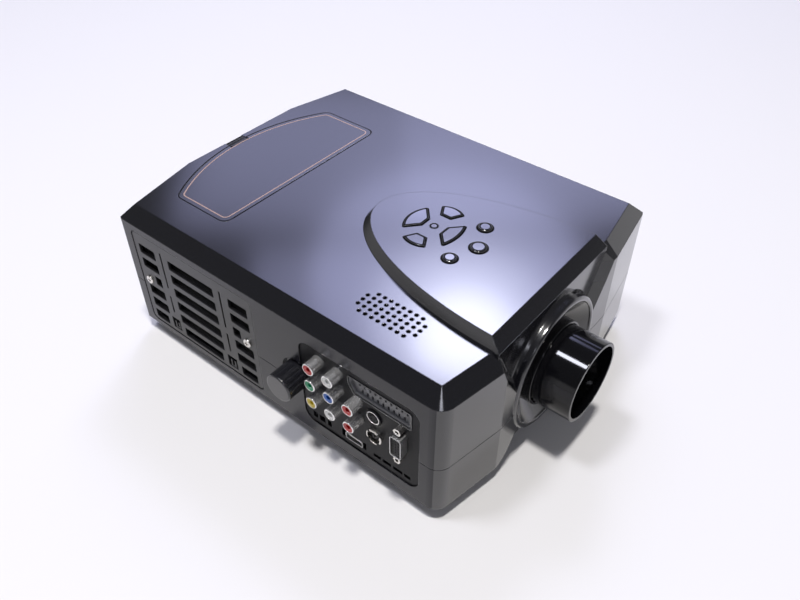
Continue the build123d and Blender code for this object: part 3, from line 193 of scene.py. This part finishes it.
# The seven keys aren't in this table and have the look key_domed
node_looks = {
    "upper_housing": gloss_black,
    "lower_housing": gloss_black,
    "control_hood": gloss_black,
    "lamp_door": gloss_black,
    "side_grille": side_black,
    "grille_screws": nickel,
    "dust_filter": foam_black,
    "connector_plate": plate_black,
    "status_window": window_dark,
    "button_board": board_green,
    "speaker": inner_black,
    "door_latch": side_black,
    "rca_shells": plated,
    "rca_inserts_red": red_plastic,
    "rca_inserts_green": green_plastic,
    "rca_inserts_blue": blue_plastic,
    "rca_inserts_yellow": yellow_plastic,
    "rca_inserts_white": white_plastic,
    "scart_socket": socket_gray_painted_light,
    "svideo_socket": plate_black,
    "tv_socket": nickel,
    "vga_socket": steel,
    "vga_standoffs": nickel,
    "hdmi_socket": steel,
    "io_board": board_green,
    "adjuster_knob": knob_black,
    "knob_shaft": steel,
    "potentiometer": inner_black,
    "lens_sleeve": barrel_black,
    "focus_barrel": barrel_black,
    "front_lens": lens_glass,
    "lens_cell": barrel_black,
    "rear_lens": lens_glass,
    "optics_frame": inner_black,
    "condenser_lens": lens_glass,
    "heat_glass": lens_glass,
    "lcd_panel": inner_black,
    "field_lens": lens_glass,
    "lamp_case": lamp_metal,
    "lamp_reflector": mirror_metal,
    "lamp_bulb": lens_glass,
    "fan_frame": inner_black,
    "fan_rotor": inner_black,
    "main_board": board_green,
    "power_board": board_green,
    "ac_inlet": plate_black,
    "power_rocker": key_black,
    "rear_feet": rubber_black,
    "foot_stem_left": side_black,
    "foot_stem_right": side_black,
    "foot_wheel_left": side_black,
    "foot_wheel_right": side_black,
    "housing_screws": steel,
}
for name, obj in nodes.items():
    obj.data.materials.clear()
    obj.data.materials.append(node_looks.get(name, key_domed))

# Second looks on single faces

SOCKET_REACH = 7.0 * MM
VGA_HALF_WIDTH = 2.95 * MM
VGA_HALF_HEIGHT = 7.25 * MM
TV_BORE = 4.7 * MM
TV_PIN = 1.4 * MM
WALL_LEAN = 0.93
WALL_X = -100.0 * MM


def paint_inside(node, reach_y, reach_z, look):
    """Gives a look to the faces at a socket's outer end that lie within a rectangle about its axis."""
    obj = nodes[node]
    low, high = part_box(node)
    middle_y = (low[1] + high[1]) / 2
    middle_z = (low[2] + high[2]) / 2
    obj.data.materials.append(look)
    index = len(obj.data.materials) - 1
    places = [obj.matrix_world @ vertex.co for vertex in obj.data.vertices]

    def is_inside(place):
        off_y = (place.y - middle_y) / reach_y
        off_z = (place.z - middle_z) / reach_z
        return max(abs(off_y), abs(off_z)) <= 1.0 and place.x <= low[0] + SOCKET_REACH

    for face in obj.data.polygons:
        if all(is_inside(places[corner]) for corner in face.vertices):
            face.material_index = index


def paint_left_wall(node, look):
    """Gives a look to the outer faces of the connector side."""
    obj = nodes[node]
    obj.data.materials.append(look)
    index = len(obj.data.materials) - 1
    turn = obj.matrix_world.to_3x3()
    for face in obj.data.polygons:
        if (turn @ face.normal).x < -WALL_LEAN and (obj.matrix_world @ face.center).x < WALL_X:
            face.material_index = index


paint_inside("vga_socket", VGA_HALF_WIDTH, VGA_HALF_HEIGHT, inner_black)
paint_inside("tv_socket", TV_BORE, TV_BORE, inner_black)
paint_inside("tv_socket", TV_PIN, TV_PIN, gold)
paint_left_wall("upper_housing", side_satin)
paint_left_wall("lower_housing", side_satin)

# Thin trim that stands on the solids, among it bands of painted shade round the keys and the status window

# How far a band reaches into its solid, and how far it stands out
SUNK = 0.05 * MM
THIN = 0.02 * MM
RAISED = 0.03 * MM

# An outline's points are rounded to a micrometre, turn by more than HULL_TURN and lie HULL_STEP apart
DIGITS = 6
HULL_TURN = 1e-12
HULL_STEP = 0.08 * MM

CORNER_STEPS = 6
NEARLY_STRAIGHT = math.radians(80)


def outward(points):
    """Returns the outward direction at each point of a closed loop that runs anticlockwise."""
    directions = []
    count = len(points)
    for index in range(count):
        ahead = Vector(points[(index + 1) % count])
        behind = Vector(points[index - 1])
        along = (ahead - behind).normalized()
        directions.append(Vector((along.y, -along.x)))
    return directions


def band(name, points, inner, outer, low, high, look, body, axis="Z"):
    """A closed flat band along a loop, between two offsets from it and between two heights."""
    directions = outward(points)
    corners = []
    for offset, height in ((inner, low), (outer, low), (outer, high), (inner, high)):
        for point, direction in zip(points, directions):
            u = point[0] + direction.x * offset
            v = point[1] + direction.y * offset
            corners.append((u, v, height) if axis == "Z" else (height, u, v))
    count = len(points)
    faces = []
    for side in range(4):
        for index in range(count):
            ahead = (index + 1) % count
            other = (side + 1) % 4
            faces.append((side * count + index, side * count + ahead, other * count + ahead,
                          other * count + index))
    mesh = bpy.data.meshes.new(name)
    mesh.from_pydata(corners, [], faces)
    mesh.update()
    piece = bpy.data.objects.new(name, mesh)
    scene.collection.objects.link(piece)
    piece.data.materials.append(look)
    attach(piece, body)


def outline_above(node, level):
    """The convex outline, anticlockwise, of what a node has above a level."""
    obj = nodes[node]
    spots = set()
    for vertex in obj.data.vertices:
        place = obj.matrix_world @ vertex.co
        if place.z > level:
            spots.add((round(place.x, DIGITS), round(place.y, DIGITS)))
    spots = sorted(spots)
    hull = []
    for ordered in (spots, spots[::-1]):
        chain = []
        for spot in ordered:
            while len(chain) > 1:
                a, b = chain[-2], chain[-1]
                if (b[0] - a[0]) * (spot[1] - a[1]) - (b[1] - a[1]) * (spot[0] - a[0]) > HULL_TURN:
                    break
                chain.pop()
            chain.append(spot)
        hull += chain[:-1]
    loop = []
    for spot in hull:
        if not loop or math.dist(spot, loop[-1]) > HULL_STEP:
            loop.append(spot)
    return loop


def rounded(points, radius):
    """Rounds the corners of an anticlockwise loop, apart from those that are nearly straight."""
    loop = []
    count = len(points)
    for index in range(count):
        corner = Vector(points[index])
        before = (Vector(points[index - 1]) - corner).normalized()
        after = (Vector(points[(index + 1) % count]) - corner).normalized()
        half = math.acos(max(-1.0, min(1.0, before.dot(after)))) / 2
        if half > NEARLY_STRAIGHT:
            loop.append(tuple(corner))
            continue
        reach = radius / math.tan(half)
        center = corner + (before + after).normalized() * (radius / math.sin(half))
        start = corner + before * reach - center
        turn = math.pi - 2 * half
        for step in range(CORNER_STEPS + 1):
            angle = turn * step / CORNER_STEPS
            spun = Vector((
                start.x * math.cos(angle) - start.y * math.sin(angle),
                start.x * math.sin(angle) + start.y * math.cos(angle),
            ))
            loop.append(tuple(center + spun))
    return loop


# Painted shade round the keys: a dark band on the hood round each key's hole, over the edge of the real gap
# and the hood's edge beyond it, and a dark band just inside the rim of each flat key top, standing in for
# the dark edge of a domed key
KEY_GAP_SHADE_START = 0.4 * MM
KEY_GAP_SHADE_END = 1.0 * MM
KEY_SHADE_RIM_WIDTH = 1.0 * MM
WINDOW_SHADE_RIM_WIDTH = 1.1 * MM
RIM_INSET = 0.05 * MM

# Each key with its height above the hood in millimetres
for key_name, proud in (
    ("button_up", 0.8),
    ("button_down", 0.8),
    ("button_left", 0.8),
    ("button_right", 0.8),
    ("button_round_left", 1.2),
    ("button_round_middle", 1.2),
    ("button_round_right", 1.2),
):
    key_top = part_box(key_name)[1][2]
    hood_level = key_top - proud * MM
    # A band of painted shade round the key's hole, and one along the rim of its top
    band(key_name + "_gap", outline_above(key_name, hood_level), KEY_GAP_SHADE_START, KEY_GAP_SHADE_END,
         hood_level - SUNK, hood_level + RAISED, gap_and_shade_black, "base")
    band(key_name + "_rim", outline_above(key_name, key_top - THIN), -KEY_SHADE_RIM_WIDTH, -RIM_INSET,
         key_top - SUNK, key_top + THIN, gap_and_shade_black, key_name)

# Painted shade: a dark band just inside the rim of the status window's flat top, standing in for the dark
# edge of a domed window
window_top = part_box("status_window")[1][2]
band("status_window_shade_rim", outline_above("status_window", window_top - THIN), -WINDOW_SHADE_RIM_WIDTH, -RIM_INSET,
     window_top - SUNK, window_top + THIN, gap_and_shade_black, "base")

# The lamp door's front edge is straight, and its rear edge is an arc
DOOR_FRONT = 73.711 * MM
DOOR_REAR = 143.011 * MM
ARC_RADIUS = 130.4 * MM
ARC_STEPS = 32
BORDER_INSET = 3.5 * MM
BORDER_CORNER = 3.6 * MM
BORDER_HALF_WIDTH = 0.42 * MM
DOOR_GAP = 0.5 * MM

door_low, door_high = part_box("lamp_door")
door_top = door_high[2]
door_middle = (door_low[0] + door_high[0]) / 2
border_half = (door_high[0] - door_low[0]) / 2 - BORDER_INSET
border_front = DOOR_FRONT + BORDER_INSET
arc_middle = DOOR_REAR - BORDER_INSET - ARC_RADIUS
arc_half = math.asin(border_half / ARC_RADIUS)
border = [(door_middle - border_half, border_front), (door_middle + border_half, border_front)]
for step in range(ARC_STEPS + 1):
    angle = arc_half - 2 * arc_half * step / ARC_STEPS
    border.append((door_middle + ARC_RADIUS * math.sin(angle), arc_middle + ARC_RADIUS * math.cos(angle)))
border = rounded(border, BORDER_CORNER)
band("door_border", border, -BORDER_HALF_WIDTH, BORDER_HALF_WIDTH, door_top - SUNK, door_top + RAISED,
     copper_print, "lamp_door")
band("door_gap", border, BORDER_INSET + THIN, BORDER_INSET + DOOR_GAP, door_top - SUNK, door_top + THIN,
     gap_and_shade_black, "base")

# The SCART socket's rim has one cut corner, of this width and height
SCART_CUT_Y = 3.9 * MM
SCART_CUT_Z = 4.9 * MM
SCART_CORNER = 0.8 * MM
SCART_RIM_WIDTH = 0.9 * MM
SCART_RIM_FRONT = 0.5 * MM
SCART_RIM_BACK = 0.1 * MM

plate_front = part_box("connector_plate")[0][0]
scart_low, scart_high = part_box("scart_socket")
scart_loop = [
    (scart_low[1], scart_low[2]),
    (scart_high[1] - SCART_CUT_Y, scart_low[2]),
    (scart_high[1], scart_high[2] - SCART_CUT_Z),
    (scart_high[1], scart_high[2]),
    (scart_low[1], scart_high[2]),
]
band("scart_rim", rounded(scart_loop, SCART_CORNER), 0.0, SCART_RIM_WIDTH, plate_front - SCART_RIM_FRONT,
     plate_front + SCART_RIM_BACK, rim_black, "base", axis="X")

SHIELD_RADIUS = 4.3 * MM
SHIELD_INNER = 0.2 * MM
SHIELD_OUTER = 0.35 * MM
SHIELD_FRONT = 0.9 * MM
SHIELD_BACK = 3.0 * MM
SHIELD_STEPS = 48

svideo_low, svideo_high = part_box("svideo_socket")
svideo_y = (svideo_low[1] + svideo_high[1]) / 2
svideo_z = (svideo_low[2] + svideo_high[2]) / 2
circle = []
for step in range(SHIELD_STEPS):
    angle = 2 * math.pi * step / SHIELD_STEPS
    circle.append((svideo_y + SHIELD_RADIUS * math.cos(angle), svideo_z + SHIELD_RADIUS * math.sin(angle)))
band("svideo_shield", circle, -SHIELD_INNER, SHIELD_OUTER, plate_front - SHIELD_FRONT,
     plate_front + SHIELD_BACK, plated, "base", axis="X")

# Stage, in metres

PALE = (0.86, 0.85, 0.88, 1.0)
FLOOR_HALF = 6.0
FADE_START = 1.2
FADE_END = 2.4


def seen_directly(tree):
    """1 for camera, glossy and transmission rays, and 0 for the rays that light things."""
    path = tree.nodes.new("ShaderNodeLightPath")
    total = path.outputs["Is Camera Ray"]
    for output in ("Is Glossy Ray", "Is Transmission Ray"):
        total = math_node(tree, "MAXIMUM", total, path.outputs[output])
    return total


floor_mesh = bpy.data.meshes.new("floor")
floor_corners = [(x * FLOOR_HALF, y * FLOOR_HALF, 0) for x, y in ((-1, -1), (1, -1), (1, 1), (-1, 1))]
floor_mesh.from_pydata(floor_corners, [], [(0, 1, 2, 3)])
floor = bpy.data.objects.new("floor", floor_mesh)
scene.collection.objects.link(floor)
floor_look, floor_tree, floor_shader = new_material("floor_look", (0.80, 0.786, 0.788))
floor_shader.inputs["Roughness"].default_value = 0.7
floor_shader.inputs["Specular IOR Level"].default_value = 0.2

# Far from the object, the floor goes over into the pale backdrop
spot = floor_tree.nodes.new("ShaderNodeNewGeometry")
distance = floor_tree.nodes.new("ShaderNodeVectorMath")
distance.operation = "LENGTH"
floor_tree.links.new(spot.outputs["Position"], distance.inputs[0])
far_share = map_range(floor_tree, distance.outputs["Value"], FADE_START, FADE_END, smooth=True)
floor_share = math_node(floor_tree, "MULTIPLY", far_share, seen_directly(floor_tree))
backdrop = floor_tree.nodes.new("ShaderNodeEmission")
backdrop.inputs["Color"].default_value = PALE
floor_surface = mix_shaders(floor_tree, floor_share, floor_shader.outputs["BSDF"],
                            backdrop.outputs["Emission"])
floor_tree.links.new(floor_surface, floor_tree.nodes["Material Output"].inputs["Surface"])
floor.data.materials.append(floor_look)

world = bpy.data.worlds.new("studio")
scene.world = world
world.use_nodes = True
sky = world.node_tree
dim_sky = sky.nodes["Background"]
dim_sky.inputs["Color"].default_value = (0.86, 0.87, 0.92, 1.0)
dim_sky.inputs["Strength"].default_value = 0.15

# The camera sees the pale backdrop in every direction, and glossy pieces see it up to about 12 degrees above
# the floor. Incoming runs back along a ray, so its Z is minus the sine of the ray's angle above the floor
HIGH_RAY_Z = -0.28
LOW_RAY_Z = -0.16
direction = sky.nodes.new("ShaderNodeNewGeometry")
parts = sky.nodes.new("ShaderNodeSeparateXYZ")
sky.links.new(direction.outputs["Incoming"], parts.inputs["Vector"])
low_share = map_range(sky, parts.outputs["Z"], HIGH_RAY_Z, LOW_RAY_Z, smooth=True)
sky_path = sky.nodes.new("ShaderNodeLightPath")
camera_or_low = math_node(sky, "MAXIMUM", sky_path.outputs["Is Camera Ray"], low_share)
pale_share = math_node(sky, "MULTIPLY", camera_or_low, seen_directly(sky))
pale_sky = sky.nodes.new("ShaderNodeBackground")
pale_sky.inputs["Color"].default_value = PALE
sky_surface = mix_shaders(sky, pale_share, dim_sky.outputs["Background"], pale_sky.outputs["Background"])
sky.links.new(sky_surface, sky.nodes["World Output"].inputs["Surface"])

# Lights

PANEL_TURN = math.radians(50.0)
COOL = (0.80, 0.83, 1.35)
COOL_MIDDLE = (0.9, 0.93, 1.2)
COOL_WHITE = (0.95, 0.97, 1.1)


def add_light(name, shape, width, length, power, color, place, turn):
    data = bpy.data.lights.new(name, "AREA")
    data.shape = shape
    data.size = width
    data.size_y = length
    data.energy = power
    data.color = color
    lamp = bpy.data.objects.new(name, data)
    lamp.location = place
    lamp.rotation_euler = turn
    scene.collection.objects.link(lamp)


light_place = Vector((-0.31, -0.30, 2.4))
light_aim = Vector((0.0, 0.0, 0.05)) - light_place
add_light("ceiling_light", "DISK", 0.26, 0.26, 40.0, (1.0, 0.98, 0.95), light_place,
          light_aim.to_track_quat("-Z", "Y").to_euler())

# Flat ceiling panels that face down. Each row gives a panel's shape, its height, how far it stands from the
# origin along the direction PANEL_TURN and how far to the side of that, its length and width, its radiance
# and its color
for name, shape, height, far, side, length, width, radiance, color in (
    ("far_panel", "RECTANGLE", 2.44, 3.95, 0.30, 1.7, 3.1, 1.45, COOL),
    ("far_side_panel", "RECTANGLE", 2.40, 3.75, 0.85, 1.3, 1.5, 0.5, COOL),
    ("near_panel", "RECTANGLE", 2.40, 2.30, 0.15, 1.08, 1.7, 1.7, COOL),
    ("glow_wide", "ELLIPSE", 2.36, 2.66, 0.30, 1.8, 1.4, 1.8, COOL),
    ("glow_middle", "ELLIPSE", 2.32, 2.22, 0.34, 1.0, 0.88, 2.7, COOL_MIDDLE),
    ("glow_core", "ELLIPSE", 2.28, 2.06, 0.34, 0.6, 0.5, 8.2, COOL_WHITE),
    ("front_panel", "RECTANGLE", 2.40, -2.55, 0.0, 0.8, 0.8, 6.0, COOL_WHITE),
    ("barrel_panel", "ELLIPSE", 2.40, -0.13, -0.78, 0.4, 0.45, 38.0, COOL_WHITE),
):
    area = length * width * (math.pi / 4 if shape == "ELLIPSE" else 1.0)
    place = (
        far * math.sin(PANEL_TURN) + side * math.cos(PANEL_TURN),
        far * math.cos(PANEL_TURN) - side * math.sin(PANEL_TURN),
        height,
    )
    add_light(name, shape, width, length, radiance * math.pi * area, color, place, (0.0, 0.0, -PANEL_TURN))

# Camera, as fitted to the photo

YAW = math.radians(51.06)
PITCH = math.radians(42.19)
ROLL = math.radians(0.167)

camera_data = bpy.data.cameras.new("camera")
camera = bpy.data.objects.new("camera", camera_data)
scene.collection.objects.link(camera)
forward = Vector((math.sin(YAW) * math.cos(PITCH), math.cos(YAW) * math.cos(PITCH), -math.sin(PITCH)))
camera.location = (-0.31591, -0.26729, 0.409)
camera.rotation_mode = "QUATERNION"
camera.rotation_quaternion = forward.to_track_quat("-Z", "Y") @ Matrix.Rotation(ROLL, 4, "Z").to_quaternion()
camera_data.sensor_width = 36.0
camera_data.lens = 35.19
camera_data.clip_start = 0.01
camera_data.clip_end = 50.0
scene.camera = camera

scene.view_settings.view_transform = "Standard"
